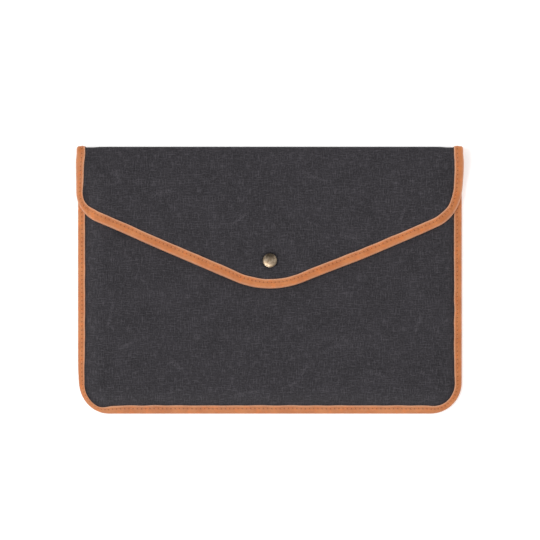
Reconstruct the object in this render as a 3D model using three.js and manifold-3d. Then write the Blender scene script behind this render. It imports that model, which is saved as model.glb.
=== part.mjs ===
// A padded laptop sleeve of waxed canvas: a pocket with foam walls, leather edge binding, and a
// V-shaped flap that folds over the front and closes with one press stud. Millimetres.
//
// The closed sleeve lies on its back. +X is its width, +Y runs to the fold at the top, +Z is up,
// and the origin is on the surface it lies on, under the middle of its outline.
//
// Every soft layer is a slab between two heights on one shared grid, cut to its outline, so the
// layers of a wall stay a constant gap apart wherever the wall curves.
import * as THREE from 'three';
import { mergeVertices } from 'three/addons/utils/BufferGeometryUtils.js';
import Module from 'manifold-3d';

const wasm = await Module();
wasm.setup();

// ---- driving dimensions ----
const BODY_WIDTH = 343;
const FLAP_WIDTH = 346;
const LENGTH = 239;
const POCKET_HEIGHT = 12.4; // clear height for a laptop

// ---- materials' thickness ----
const CANVAS = 0.8;
const LINING = 0.5;
const LEATHER = 1;
const BODY_FOAM = 2.4;
const FLAP_FOAM = 1;
const GAP = 0.2; // between neighbouring layers

// ---- edges ----
const BINDING_WIDTH = 8.4; // leather seen on each face
const SEAM = 8; // width of the pressed edge in which front and back are sewn together
const BODY_CORNER = 28; // radius of the bottom corners
const FLAP_SHOULDER = 39; // radius where the flap's side turns into its V
const FLAP_TIP = 80; // radius of the flap's tip
const FLAP_APEX_Y = -14.6; // where the V's two straight edges would meet
const FLAP_SLOPE = 0.427; // rise of the V's edges over their run
const MOUTH = 18; // from the fold down to the front panel's open edge

// ---- how the walls swell from the seam ----
const SEAM_MIDDLE = 3.6; // height of the middle of the pressed edge, at its outside
const DROOP = 20; // the pressed edge droops over this distance from the outside
const SWELL = 14; // the pocket opens over this distance inside the seam
const FOAM_RAMP = 14; // the foam thickens over this distance inside the seam
const FLAP_STAND_OFF = 2; // between the front and the flap's lining

// ---- the fold ----
const FOLD_BACK = 1.3; // underside of the back wall where it meets the fold
const FOLD_FLAP = 20.9; // underside of the flap where it meets the fold
const FOLD_WIDTH = 344.6;
const CREASE_GAP = 0.4; // between the walls that meet at a crease, beyond their thickness

// ---- the press stud ----
const SNAP_Y = 17.5;
const CAP_RADIUS = 6.25;
const HOLE_RADIUS = 2.3; // through the canvas, for the tubular posts
const POST_RADIUS = 1.9;
const WASHER_RADIUS = 7;
const HEAD_RADIUS = 3;
const ROUND = 24; // sides of a full circle

// ---- worked out from those ----
const BODY_HALF = BODY_WIDTH / 2;
const FLAP_HALF = FLAP_WIDTH / 2;
const TOP = LENGTH / 2;
const BOTTOM = -LENGTH / 2;
const EDGE_COVER = LEATHER + GAP; // leather stands this far outside the fabric that it binds
const SEAM_WALL = CANVAS + GAP + LINING;
const BODY_WALL = CANVAS + LINING + BODY_FOAM + 2 * GAP;
const FLAP_WALL = CANVAS + LINING + FLAP_FOAM + 2 * GAP;
const MIDDLE = BODY_WALL + POCKET_HEIGHT / 2; // height of the pocket's middle plane
const FRONT_TOP = 2 * MIDDLE;
const CREASE_Y = TOP - EDGE_COVER - FLAP_WALL / 2; // both creases lie above each other
const BACK_CREASE_Z = FOLD_BACK + FLAP_WALL / 2;
const FLAP_CREASE_Z = FOLD_FLAP + FLAP_WALL / 2;
const FABRIC_CREASE = FLAP_WALL / 2 + CREASE_GAP;
const LEATHER_CREASE = FABRIC_CREASE + EDGE_COVER;
const FABRIC_TOP = CREASE_Y - FABRIC_CREASE;
const LEATHER_TOP = CREASE_Y - LEATHER_CREASE;
const MOUTH_Y = TOP - MOUTH;
const FOAM_INSET = SEAM + 3;
const FLAP_INNER = FRONT_TOP + FLAP_STAND_OFF;
const FLAP_OUTER = FLAP_INNER + FLAP_WALL;

// ---- finishes ----
const finish = (color, roughness, metalness = 0) =>
  new THREE.MeshStandardMaterial({ color, roughness, metalness });
const canvas = finish(0x3b3a3e, 0.85);
const leather = finish(0xc47e58, 0.55);
const foam = finish(0xb9b6ae, 0.95);
const lining = finish(0x6a6765, 0.95);
const brass = finish(0x8c7344, 0.35, 1);
const washerPlastic = finish(0x2a2a2a, 0.6);

const clamp = (value) => Math.min(1, Math.max(0, value));
const mix = (a, b, share) => a + (b - a) * share;
const smooth = (share) => clamp(share) ** 2 * (3 - 2 * clamp(share));

// ---- heights ----

// Distance in from the sewn edge: the two sides, the bottom and the round corners between them.
function fromEdge(x, y) {
  const side = BODY_HALF - Math.abs(x);
  const bottom = y - BOTTOM;
  if (side >= BODY_CORNER || bottom >= BODY_CORNER) return Math.min(side, bottom);
  return BODY_CORNER - Math.hypot(BODY_CORNER - side, BODY_CORNER - bottom);
}

// The middle plane of the pocket droops towards the sewn edge.
function middle(edge) {
  const share = Math.max(0, 1 - edge / DROOP);
  return MIDDLE - (MIDDLE - SEAM_MIDDLE) * share ** 2;
}

function halfPocket(edge) {
  const open = Math.sin((clamp((edge - SEAM) / SWELL) * Math.PI) / 2);
  return GAP / 2 + (POCKET_HEIGHT - GAP) / 2 * open;
}

const foamShare = (edge) => clamp((edge - SEAM) / FOAM_RAMP);

// The back wall comes down to the height of the fold over the last stretch before it.
const nearFold = (y) => smooth((MOUTH - (TOP - y)) / 13);

function backWall(x, y) {
  const thinning = mix(1, (FLAP_WALL - SEAM_WALL) / (BODY_WALL - SEAM_WALL), nearFold(y));
  const share = Math.min(foamShare(fromEdge(x, y)), thinning);
  return mix(SEAM_WALL, BODY_WALL, share);
}

function backOuter(x, y) {
  const edge = fromEdge(x, y);
  const wall = mix(SEAM_WALL, BODY_WALL, foamShare(edge));
  return mix(middle(edge) - halfPocket(edge) - wall, FOLD_BACK, nearFold(y));
}

const backInner = (x, y) => backOuter(x, y) + backWall(x, y);

// The foam of the front stops short of its open edge, so the wall is thin there.
const nearMouth = (y) => clamp((TOP - y - MOUTH - BINDING_WIDTH) / 8);

function frontWall(x, y) {
  const share = Math.min(foamShare(fromEdge(x, y)), nearMouth(y));
  return mix(SEAM_WALL, BODY_WALL, share);
}

function frontInner(x, y) {
  const edge = fromEdge(x, y);
  const lift = EDGE_COVER * (1 - nearMouth(y)) * clamp(1.5 * foamShare(edge));
  return middle(edge) + halfPocket(edge) + lift;
}

const frontOuter = (x, y) => frontInner(x, y) + frontWall(x, y);

// The top of everything that is sewn into the body's edge: front and back together up to the
// mouth, and the back wall alone from there to the fold.
function boundTop(x, y) {
  return mix(backInner(x, y), frontOuter(x, y), clamp((TOP - y - MOUTH + 4) / 5));
}

// The flap is flat where it meets the fold, and its sides come down onto the body's further on.
function flapInner(x, y) {
  const edge = BODY_HALF - Math.abs(x);
  const outer = middle(edge) + halfPocket(edge) + mix(SEAM_WALL, BODY_WALL, foamShare(edge));
  const bound = middle(edge) + halfPocket(edge) + SEAM_WALL + EDGE_COVER;
  const rest = edge < SEAM + 1 ? Math.max(bound, outer) : outer;
  const crown = mix(FOLD_FLAP, FLAP_INNER, smooth((TOP - y - MOUTH + 1) / 11));
  return crown - (FRONT_TOP - rest) * smooth((TOP - y - 4) / 36);
}

const flapOuter = (x, y) => flapInner(x, y) + FLAP_WALL;

const raised = (height, by) => (x, y) => height(x, y) + by;
const level = (height) => () => height;

// ---- shared grid ----
const FROM_SIDE = [-3, 3, 8, 10, 14, 19, 28];
const FROM_BOTTOM = [-1, 3, 8, 10, 14, 19, 28];
const FROM_FOLD = [42, 34, 28, 22, 19, 14, 8, -1];
const GRID_X = [
  ...FROM_SIDE.map((inset) => inset - BODY_HALF),
  ...FROM_SIDE.map((inset) => BODY_HALF - inset).reverse(),
];
const GRID_Y = [
  ...FROM_BOTTOM.map((inset) => BOTTOM + inset),
  ...FROM_FOLD.map((inset) => TOP - inset),
];

// ---- geometry helpers ----
function toSolid(geometry) {
  const bare = geometry.clone();
  bare.deleteAttribute('normal');
  bare.deleteAttribute('uv');
  const merged = mergeVertices(bare, 1e-4);
  const vertProperties = new Float32Array(merged.attributes.position.array);
  const triVerts = new Uint32Array(merged.index.array);
  return new wasm.Manifold(new wasm.Mesh({ numProp: 3, vertProperties, triVerts }));
}

function toGeometry(solid) {
  const mesh = solid.getMesh();
  const geometry = new THREE.BufferGeometry();
  geometry.setAttribute('position', new THREE.BufferAttribute(mesh.vertProperties.slice(), 3));
  geometry.setIndex(new THREE.BufferAttribute(mesh.triVerts.slice(), 1));
  geometry.computeVertexNormals();
  return geometry;
}

// A closed slab over the whole grid, between two heights.
function slab(low, high) {
  const columns = GRID_X.length;
  const rows = GRID_Y.length;
  const positions = [];
  for (const height of [low, high]) {
    for (const y of GRID_Y) {
      for (const x of GRID_X) positions.push(x, y, height(x, y));
    }
  }
  const at = (column, row, upper) => upper * columns * rows + row * columns + column;
  const faces = [];
  const quad = (a, b, c, d) => faces.push(a, b, c, a, c, d);
  for (let row = 0; row < rows - 1; row += 1) {
    for (let column = 0; column < columns - 1; column += 1) {
      const corners = [[column, row], [column + 1, row], [column + 1, row + 1], [column, row + 1]];
      quad(...corners.map(([c, r]) => at(c, r, 1)));
      quad(...[0, 3, 2, 1].map((k) => at(...corners[k], 0)));
    }
  }
  for (let column = 0; column < columns - 1; column += 1) {
    const last = rows - 1;
    quad(at(column, 0, 0), at(column + 1, 0, 0), at(column + 1, 0, 1), at(column, 0, 1));
    quad(at(column + 1, last, 0), at(column, last, 0), at(column, last, 1), at(column + 1, last, 1));
  }
  for (let row = 0; row < rows - 1; row += 1) {
    const last = columns - 1;
    quad(at(0, row + 1, 0), at(0, row, 0), at(0, row, 1), at(0, row + 1, 1));
    quad(at(last, row, 0), at(last, row + 1, 0), at(last, row + 1, 1), at(last, row, 1));
  }
  const geometry = new THREE.BufferGeometry();
  geometry.setAttribute('position', new THREE.Float32BufferAttribute(positions, 3));
  geometry.setIndex(faces);
  return toSolid(geometry);
}

// An upright prism of an outline, far taller than the sleeve, for cutting slabs to shape.
function prism(shape, curveSegments = 7) {
  const options = { depth: 80, bevelEnabled: false, curveSegments };
  return toSolid(new THREE.ExtrudeGeometry(shape, options).translate(0, 0, -20));
}

function rectangle(x0, y0, x1, y1) {
  const shape = new THREE.Shape();
  shape.moveTo(x0, y0);
  shape.lineTo(x1, y0);
  shape.lineTo(x1, y1);
  shape.lineTo(x0, y1);
  shape.closePath();
  return shape;
}

// The body's outline, inset all round except along its straight top.
function bodyOutline(inset, top) {
  const half = BODY_HALF - inset;
  const bottom = BOTTOM + inset;
  const radius = BODY_CORNER - inset;
  const shape = new THREE.Shape();
  shape.moveTo(half, top);
  shape.lineTo(half, bottom + radius);
  shape.absarc(half - radius, bottom + radius, radius, 0, -Math.PI / 2, true);
  shape.lineTo(-half + radius, bottom);
  shape.absarc(-half + radius, bottom + radius, radius, -Math.PI / 2, -Math.PI, true);
  shape.lineTo(-half, top);
  shape.closePath();
  return shape;
}

// The flap's outline, inset all round except along its straight top: two short sides, a round
// shoulder on each, and a wide V with a round tip.
function flapOutline(inset, top) {
  const angle = Math.atan(FLAP_SLOPE);
  const half = FLAP_HALF - inset;
  const apex = FLAP_APEX_Y + inset / Math.cos(angle);
  const shoulder = FLAP_SHOULDER - inset;
  const tip = FLAP_TIP - inset;
  const normal = Math.PI / 2 - angle; // the V's edges face this far below level
  const shoulderY = apex + half * FLAP_SLOPE + shoulder * Math.tan(normal / 2);
  const tipY = apex + tip / Math.cos(angle);
  const shape = new THREE.Shape();
  shape.moveTo(-half, top);
  shape.lineTo(half, top);
  shape.absarc(half - shoulder, shoulderY, shoulder, 0, -normal, true);
  shape.absarc(0, tipY, tip, -normal, -Math.PI + normal, true);
  shape.absarc(-half + shoulder, shoulderY, shoulder, -Math.PI + normal, -Math.PI, true);
  shape.lineTo(-half, top);
  shape.closePath();
  return shape;
}

function snapHole(radius) {
  const shape = new THREE.Shape();
  shape.absarc(0, SNAP_Y, radius, 0, 2 * Math.PI, false);
  return prism(shape, ROUND);
}

// A turned piece on the press stud's axis. The profile is [radius, height] pairs.
function turned(profile) {
  const points = profile.map(([radius, height]) => new THREE.Vector2(radius, height));
  const geometry = new THREE.LatheGeometry(points, ROUND).rotateX(Math.PI / 2);
  return toGeometry(toSolid(geometry));
}

const sleeve = new THREE.Group();
const origin = new THREE.Vector3();
const snapAxis = new THREE.Vector3(0, SNAP_Y, 0);

function add(name, geometry, material, position = origin) {
  const mesh = new THREE.Mesh(geometry, material);
  mesh.name = name;
  mesh.position.copy(position);
  sleeve.add(mesh);
}

// The strip of leather folded round an edge: a band on both faces, less the room for the fabric.
function binding(low, high, outer, band, fabric) {
  const wrapped = slab(raised(low, -EDGE_COVER), raised(high, EDGE_COVER)).intersect(outer);
  const room = slab(raised(low, -GAP), raised(high, GAP)).intersect(fabric);
  return toGeometry(wrapped.subtract(band).subtract(room));
}

// ---- back ----
function addBack() {
  const cloth = prism(bodyOutline(EDGE_COVER, FABRIC_TOP));
  const padding = prism(bodyOutline(FOAM_INSET, FABRIC_TOP));
  const canvasTop = raised(backOuter, CANVAS);
  const liningUnder = raised(backInner, -LINING);
  add('back_canvas', toGeometry(slab(backOuter, canvasTop).intersect(cloth)), canvas);
  const core = slab(raised(canvasTop, GAP), raised(liningUnder, -GAP)).intersect(padding);
  add('back_foam', toGeometry(core), foam);
  add('back_lining', toGeometry(slab(liningUnder, backInner).intersect(cloth)), lining);
}

// ---- front ----
function addFront() {
  const cloth = prism(bodyOutline(EDGE_COVER, MOUTH_Y - EDGE_COVER));
  const padding = prism(bodyOutline(FOAM_INSET, MOUTH_Y - BINDING_WIDTH - 2));
  const canvasUnder = raised(frontOuter, -CANVAS);
  const liningTop = raised(frontInner, LINING);
  const outside = slab(canvasUnder, frontOuter).intersect(cloth).subtract(snapHole(HOLE_RADIUS));
  add('front_canvas', toGeometry(outside), canvas);
  const core = slab(raised(liningTop, GAP), raised(canvasUnder, -GAP)).intersect(padding);
  add('front_foam', toGeometry(core.subtract(snapHole(WASHER_RADIUS + GAP))), foam);
  add('front_lining', toGeometry(slab(frontInner, liningTop).intersect(cloth)), lining);
}

// The mouth is bound between the inner edges of the side binding.
function addMouthBinding() {
  const half = BODY_HALF - BINDING_WIDTH - 0.5;
  const outer = prism(rectangle(-half, MOUTH_Y - BINDING_WIDTH, half, MOUTH_Y));
  const nothing = prism(rectangle(-1, BOTTOM - 20, 1, BOTTOM - 10));
  const fabric = prism(bodyOutline(0, MOUTH_Y - LEATHER));
  const strip = binding(frontInner, frontOuter, outer, nothing, fabric);
  add('mouth_binding', strip, leather);
}

function addBodyBinding() {
  const outer = prism(bodyOutline(0, LEATHER_TOP));
  const band = prism(bodyOutline(BINDING_WIDTH, TOP + 5));
  const fabric = prism(bodyOutline(LEATHER, TOP + 5));
  add('body_binding', binding(backOuter, boundTop, outer, band, fabric), leather);
}

// ---- fold: an upright strip between the back's crease and the flap's ----
function addFold() {
  const low = BACK_CREASE_Z + FABRIC_CREASE;
  const high = FLAP_CREASE_Z - FABRIC_CREASE;
  const width = FOLD_WIDTH - 2 * EDGE_COVER;
  const outside = CREASE_Y + FLAP_WALL / 2;
  const layers = [
    ['fold_canvas', CANVAS, 0, canvas],
    ['fold_foam', FLAP_FOAM, CANVAS + GAP, foam],
    ['fold_lining', LINING, CANVAS + FLAP_FOAM + 2 * GAP, lining],
  ];
  for (const [name, thickness, depth, material] of layers) {
    const strip = new THREE.BoxGeometry(width, thickness, high - low);
    const position = new THREE.Vector3(0, outside - depth - thickness / 2, (low + high) / 2);
    add(name, strip, material, position);
  }
}

// A channel of leather round each end of the fold, open towards the middle.
function addFoldBinding() {
  const low = BACK_CREASE_Z + LEATHER_CREASE;
  const high = FLAP_CREASE_Z - LEATHER_CREASE;
  const outer = FLAP_WALL / 2 + EDGE_COVER;
  const inner = FLAP_WALL / 2 + GAP;
  const end = FOLD_WIDTH / 2;
  for (const [name, side] of [['fold_binding_left', -1], ['fold_binding_right', 1]]) {
    const points = [
      [end - BINDING_WIDTH, -outer], [end, -outer], [end, outer], [end - BINDING_WIDTH, outer],
      [end - BINDING_WIDTH, inner], [end - LEATHER, inner],
      [end - LEATHER, -inner], [end - BINDING_WIDTH, -inner],
    ];
    const shape = new THREE.Shape(points.map(([x, y]) => new THREE.Vector2(side * x, y)));
    const channel = new THREE.ExtrudeGeometry(shape, { depth: high - low, bevelEnabled: false });
    add(name, channel, leather, new THREE.Vector3(0, CREASE_Y, low));
  }
}

// ---- flap ----
function addFlap() {
  const cloth = prism(flapOutline(EDGE_COVER, FABRIC_TOP));
  const canvasUnder = raised(flapOuter, -CANVAS);
  const liningTop = raised(flapInner, LINING);
  const outside = slab(canvasUnder, flapOuter).intersect(cloth).subtract(snapHole(HOLE_RADIUS));
  add('flap_canvas', toGeometry(outside), canvas);
  const wide = snapHole(WASHER_RADIUS + GAP);
  const core = slab(raised(liningTop, GAP), raised(canvasUnder, -GAP)).intersect(cloth);
  add('flap_foam', toGeometry(core.subtract(wide)), foam);
  const inside = slab(flapInner, liningTop).intersect(cloth).subtract(wide);
  add('flap_lining', toGeometry(inside), lining);
}

function addFlapBinding() {
  const outer = prism(flapOutline(0, LEATHER_TOP));
  const band = prism(flapOutline(BINDING_WIDTH, TOP + 5));
  const fabric = prism(flapOutline(LEATHER, TOP + 5));
  add('flap_binding', binding(flapInner, flapOuter, outer, band, fabric), leather);
}

// ---- press stud: the cap's half in the flap ----
function addCap() {
  const seat = FLAP_OUTER + GAP;
  const rise = 2.5;
  const socketTop = FLAP_OUTER - CANVAS - GAP - 0.9;
  const dome = [];
  for (let step = 0; step <= 6; step += 1) {
    const turn = (step / 6) * (Math.PI / 2);
    dome.push([CAP_RADIUS * Math.cos(turn), seat + 0.5 + (rise - 0.5) * Math.sin(turn)]);
  }
  dome[dome.length - 1][0] = 0;
  const profile = [
    [0, socketTop - 0.45], [POST_RADIUS, socketTop - 0.45], [POST_RADIUS, seat],
    [CAP_RADIUS - 0.4, seat], ...dome,
  ];
  add('snap_cap', turned(profile), brass, snapAxis);
}

function addFlapWasher() {
  const high = FLAP_OUTER - CANVAS - GAP;
  const low = high - 0.7;
  const profile = [
    [HOLE_RADIUS, low], [WASHER_RADIUS - 0.2, low], [WASHER_RADIUS - 0.2, high],
    [HOLE_RADIUS, high], [HOLE_RADIUS, low],
  ];
  add('flap_washer', turned(profile), washerPlastic, snapAxis);
}

// The socket is an inverted cup with a hole in its floor for the cap's post, and a groove inside
// its wall for the spring ring.
function addSocket() {
  const high = FLAP_OUTER - CANVAS - GAP - 0.9;
  const low = FRONT_TOP + 0.9;
  const rim = 6;
  const bore = HEAD_RADIUS + 0.5;
  const groove = bore + 0.95;
  const profile = [
    [HOLE_RADIUS, high - 0.5], [bore, high - 0.5], [bore, high - 0.7], [groove, high - 0.7],
    [groove, low + 0.4], [bore, low + 0.4], [bore, low], [rim - 0.3, low], [rim, low + 0.3],
    [rim, high], [HOLE_RADIUS, high], [HOLE_RADIUS, high - 0.5],
  ];
  add('snap_socket', turned(profile), brass, snapAxis);
}

// An open ring of wire that lies in the socket's groove and grips the stud.
function addSpring() {
  const wire = 0.32;
  const radius = HEAD_RADIUS + 0.5 + 0.45;
  const height = FRONT_TOP + 0.9 + 0.85;
  const opening = 0.35; // radians left open at each side of the ring's gap
  const section = new THREE.Shape();
  section.absarc(0, 0, wire, 0, 2 * Math.PI, false);
  class Ring extends THREE.Curve {
    getPoint(share, target = new THREE.Vector3()) {
      const turn = mix(opening, 2 * Math.PI - opening, share);
      return target.set(radius * Math.cos(turn), radius * Math.sin(turn), height);
    }
  }
  const options = { steps: 36, bevelEnabled: false, extrudePath: new Ring(), curveSegments: 4 };
  add('snap_spring', new THREE.ExtrudeGeometry(section, options), brass, snapAxis);
}

// ---- press stud: the stud's half in the front ----
function addStud() {
  const seat = FRONT_TOP + GAP;
  const flange = 0.4;
  const top = FRONT_TOP + 2.1;
  const profile = [
    [POST_RADIUS - 0.6, seat - 1.6], [POST_RADIUS, seat - 1.6], [POST_RADIUS, seat],
    [5.2, seat], [5.2, seat + flange], [HEAD_RADIUS - 0.45, seat + flange],
    [HEAD_RADIUS, top - 0.7], [HEAD_RADIUS - 0.2, top - 0.25], [HEAD_RADIUS - 0.7, top],
    [POST_RADIUS - 0.6, top], [POST_RADIUS - 0.6, seat - 1.6],
  ];
  add('snap_stud', turned(profile), brass, snapAxis);
}

function addFrontWasher() {
  const high = FRONT_TOP - CANVAS - GAP;
  const low = high - 0.8;
  const profile = [
    [HOLE_RADIUS, low], [WASHER_RADIUS - 0.2, low], [WASHER_RADIUS - 0.2, high],
    [HOLE_RADIUS, high], [HOLE_RADIUS, low],
  ];
  add('front_washer', turned(profile), washerPlastic, snapAxis);
}

// The eyelet's tube runs up inside the stud, and its flange holds the washer from behind.
function addEyelet() {
  const washerLow = FRONT_TOP - CANVAS - GAP - 0.8;
  const flange = washerLow - 0.15;
  const tube = POST_RADIUS - 0.6 - 0.1;
  const profile = [
    [0, flange - 0.5], [4.8, flange - 0.5], [4.8, flange - 0.1], [4.5, flange], [tube, flange],
    [tube, FRONT_TOP + 1.7], [0, FRONT_TOP + 1.7],
  ];
  add('snap_eyelet', turned(profile), brass, snapAxis);
}

addBack();
addFront();
addMouthBinding();
addBodyBinding();
addFold();
addFoldBinding();
addFlap();
addFlapBinding();
addCap();
addFlapWasher();
addSocket();
addSpring();
addStud();
addFrontWasher();
addEyelet();

export default sleeve;
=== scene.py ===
import math

import bmesh
import bpy
import numpy as np
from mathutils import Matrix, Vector


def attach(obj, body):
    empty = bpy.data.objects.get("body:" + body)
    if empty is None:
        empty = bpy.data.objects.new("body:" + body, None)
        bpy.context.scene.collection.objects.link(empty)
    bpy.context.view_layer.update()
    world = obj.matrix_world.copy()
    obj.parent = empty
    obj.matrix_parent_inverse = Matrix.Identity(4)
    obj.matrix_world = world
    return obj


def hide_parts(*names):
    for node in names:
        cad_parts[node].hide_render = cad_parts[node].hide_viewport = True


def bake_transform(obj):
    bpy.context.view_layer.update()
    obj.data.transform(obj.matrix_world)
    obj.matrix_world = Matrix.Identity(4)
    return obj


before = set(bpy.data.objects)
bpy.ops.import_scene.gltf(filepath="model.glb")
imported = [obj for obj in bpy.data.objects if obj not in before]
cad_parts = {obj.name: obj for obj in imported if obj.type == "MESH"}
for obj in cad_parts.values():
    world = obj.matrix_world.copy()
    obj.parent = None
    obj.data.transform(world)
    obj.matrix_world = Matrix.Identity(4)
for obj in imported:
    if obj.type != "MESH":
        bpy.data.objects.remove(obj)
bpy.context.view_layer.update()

MM = 0.001

# ---- the CAD model's driving dimensions ----
BODY_WIDTH = 343
FLAP_WIDTH = 346
LENGTH = 239
POCKET_HEIGHT = 12.4
CANVAS = 0.8
LINING = 0.5
LEATHER = 1
BODY_FOAM = 2.4
FLAP_FOAM = 1
GAP = 0.2
BINDING_WIDTH = 8.4
SEAM = 8
BODY_CORNER = 28
FLAP_TIP = 80  # radius of the tip of the V
FLAP_APEX_Y = -14.6
FLAP_SLOPE = 0.427
MOUTH = 18
SEAM_MIDDLE = 3.6
DROOP = 20
SWELL = 14
FOAM_RAMP = 14
FLAP_STAND_OFF = 2
FOLD_BACK = 1.3
FOLD_FLAP = 20.9
FOLD_WIDTH = 344.6
SNAP_Y = 17.5
CAP_RADIUS = 6.25

FOLD_RAMP = 13  # the walls change to the fold's thickness over this distance
MOUTH_RAMP = 8  # the front's foam thins towards the mouth over this distance
CROWN_RAMP = 11  # the flap rises from the fold to the front over this distance
FLAP_DROP = 36  # the flap's sides sink to the body's edge over this distance

# ---- how the fabric has settled: the solids are even, and alike on both sides ----
LEFT_CORNER = 27
LEFT_SHOULDER = 30
RIGHT_SHOULDER = 36
LEFT_DRAWN_IN = 1.4  # the body's left side leans in near its corner
RIGHT_SIDE_INWARD = -1.4  # the flap's right side
RIGHT_SLOPE_HANG = -2.1  # the right half of the V lies lower
LEFT_SLOPE_HANG = 0.7  # the end of the V's left slope lies higher
SPINE_BULGE = 0.5  # the fold's canvas stands out past its leather ends
REST_GAP = 0.03  # nothing lies lower than this over the floor

# ---- worked out from those ----
BODY_HALF = BODY_WIDTH / 2
FLAP_HALF = FLAP_WIDTH / 2
TOP = LENGTH / 2
BOTTOM = -LENGTH / 2
EDGE_COVER = LEATHER + GAP
SEAM_WALL = CANVAS + GAP + LINING
BODY_WALL = CANVAS + LINING + BODY_FOAM + 2 * GAP
FLAP_WALL = CANVAS + LINING + FLAP_FOAM + 2 * GAP
MIDDLE = BODY_WALL + POCKET_HEIGHT / 2
FRONT_TOP = 2 * MIDDLE
MOUTH_Y = TOP - MOUTH
FOAM_INSET = SEAM + 3
FLAP_INNER = FRONT_TOP + FLAP_STAND_OFF
FLAP_OUTER = FLAP_INNER + FLAP_WALL
SPINE_Y = TOP - EDGE_COVER  # outer face of the upright strip at the fold

# ---- the rounded creases ----
# Past the line where a crease starts, a wall is measured by the length along its outer face.
CREASE_RADIUS = 4.1
CREASE_START = SPINE_Y - CREASE_RADIUS
QUARTER = CREASE_RADIUS * math.pi / 2
SPINE_MIDDLE = (FOLD_BACK + FOLD_FLAP + FLAP_WALL) / 2
SPINE_HALF = SPINE_MIDDLE - FOLD_BACK - CREASE_RADIUS
WALL_END = QUARTER + SPINE_HALF  # length from the start of a crease to the middle of the spine
BODY_WIDEN = FOLD_WIDTH / BODY_WIDTH - 1
FLAP_WIDEN = FOLD_WIDTH / FLAP_WIDTH - 1

# ---- fineness ----
CANVAS_STEP = 2.0
HIDDEN_STEP = 4.0
FINE_BAND = 30  # a grid's columns are closer together within this distance of its sides
OUTLINE_STEPS = 2000
GRID_OUTLINE_STEPS = 1600

# ---- creases pressed into the canvas: x, y, degrees, length, bend ----
CREASE_WIDTH = 1.2
FRONT_CREASES = (
    (54, -61, 24, 26, 1.5), (68, -54, -38, 14, 1), (31, -80, 62, 20, -2), (22, -92, 20, 16, 1),
    (-22, -101, 12, 34, 2), (-142, -32, 78, 30, -2), (-128, -58, 30, 18, 1), (96, -84, -18, 28, 2),
    (-84, -76, -35, 22, 1.5), (132, -38, 70, 24, 2),
)
FLAP_CREASES = (
    (-96, 78, 16, 30, 2), (38, 92, -24, 26, -2), (118, 60, 66, 22, 2), (-28, 54, 38, 24, 1.5),
    (70, 40, -12, 20, 1), (-136, 92, -58, 18, -1),
)


def clamp(value):
    return np.clip(value, 0.0, 1.0)


def mix(a, b, share):
    return a + (b - a) * share


def smooth(share):
    share = clamp(share)
    return share * share * (3 - 2 * share)


def together(*values):
    """The values side by side along a new last axis, stretched to one shape."""
    return np.stack(np.broadcast_arrays(*values), axis=-1)


def unit(vectors):
    return vectors / np.linalg.norm(vectors, axis=1, keepdims=True)


# ---- heights, as in the CAD model ----
def from_edge(x, y):
    """Distance in from the body's sewn edge: two sides, the bottom and its round corners."""
    side = BODY_HALF - np.abs(x)
    bottom = y - BOTTOM
    corner = BODY_CORNER - np.hypot(BODY_CORNER - side, BODY_CORNER - bottom)
    straight = (side >= BODY_CORNER) | (bottom >= BODY_CORNER)
    return np.where(straight, np.minimum(side, bottom), corner)


def middle(edge):
    return MIDDLE - (MIDDLE - SEAM_MIDDLE) * np.maximum(0, 1 - edge / DROOP) ** 2


def half_pocket(edge):
    swell = np.sin(clamp((edge - SEAM) / SWELL) * math.pi / 2)
    return GAP / 2 + (POCKET_HEIGHT - GAP) / 2 * swell


def foam_share(edge):
    return clamp((edge - SEAM) / FOAM_RAMP)


def near_fold(y):
    return smooth((MOUTH - (TOP - y)) / FOLD_RAMP)


def near_mouth(y):
    return clamp((TOP - y - MOUTH - BINDING_WIDTH) / MOUTH_RAMP)


def back_wall(x, y):
    thinning = mix(1, (FLAP_WALL - SEAM_WALL) / (BODY_WALL - SEAM_WALL), near_fold(y))
    return mix(SEAM_WALL, BODY_WALL, np.minimum(foam_share(from_edge(x, y)), thinning))


def back_outer(x, y):
    edge = from_edge(x, y)
    wall = mix(SEAM_WALL, BODY_WALL, foam_share(edge))
    return mix(middle(edge) - half_pocket(edge) - wall, FOLD_BACK, near_fold(y))


def back_inner(x, y):
    return back_outer(x, y) + back_wall(x, y)


def front_wall(x, y):
    share = np.minimum(foam_share(from_edge(x, y)), near_mouth(y))
    return mix(SEAM_WALL, BODY_WALL, share)


def front_inner(x, y):
    edge = from_edge(x, y)
    lift = EDGE_COVER * (1 - near_mouth(y)) * clamp(1.5 * foam_share(edge))
    return middle(edge) + half_pocket(edge) + lift


def front_outer(x, y):
    return front_inner(x, y) + front_wall(x, y)


def bound_top(x, y):
    """Top of all that is sewn into the body's edge: back and front, or the back alone."""
    return mix(back_inner(x, y), front_outer(x, y), clamp((TOP - y - MOUTH + 4) / 5))


def flap_inner(x, y):
    edge = BODY_HALF - np.abs(x)
    seat = middle(edge) + half_pocket(edge)
    outer = seat + mix(SEAM_WALL, BODY_WALL, foam_share(edge))
    bound = seat + SEAM_WALL + EDGE_COVER
    rest = np.where(edge < SEAM + 1, np.maximum(bound, outer), outer)
    crown = mix(FOLD_FLAP, FLAP_INNER, smooth((TOP - y - MOUTH + 1) / CROWN_RAMP))
    return crown - (FRONT_TOP - rest) * smooth((TOP - y - 4) / FLAP_DROP)


def flap_outer(x, y):
    return flap_inner(x, y) + FLAP_WALL


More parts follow.
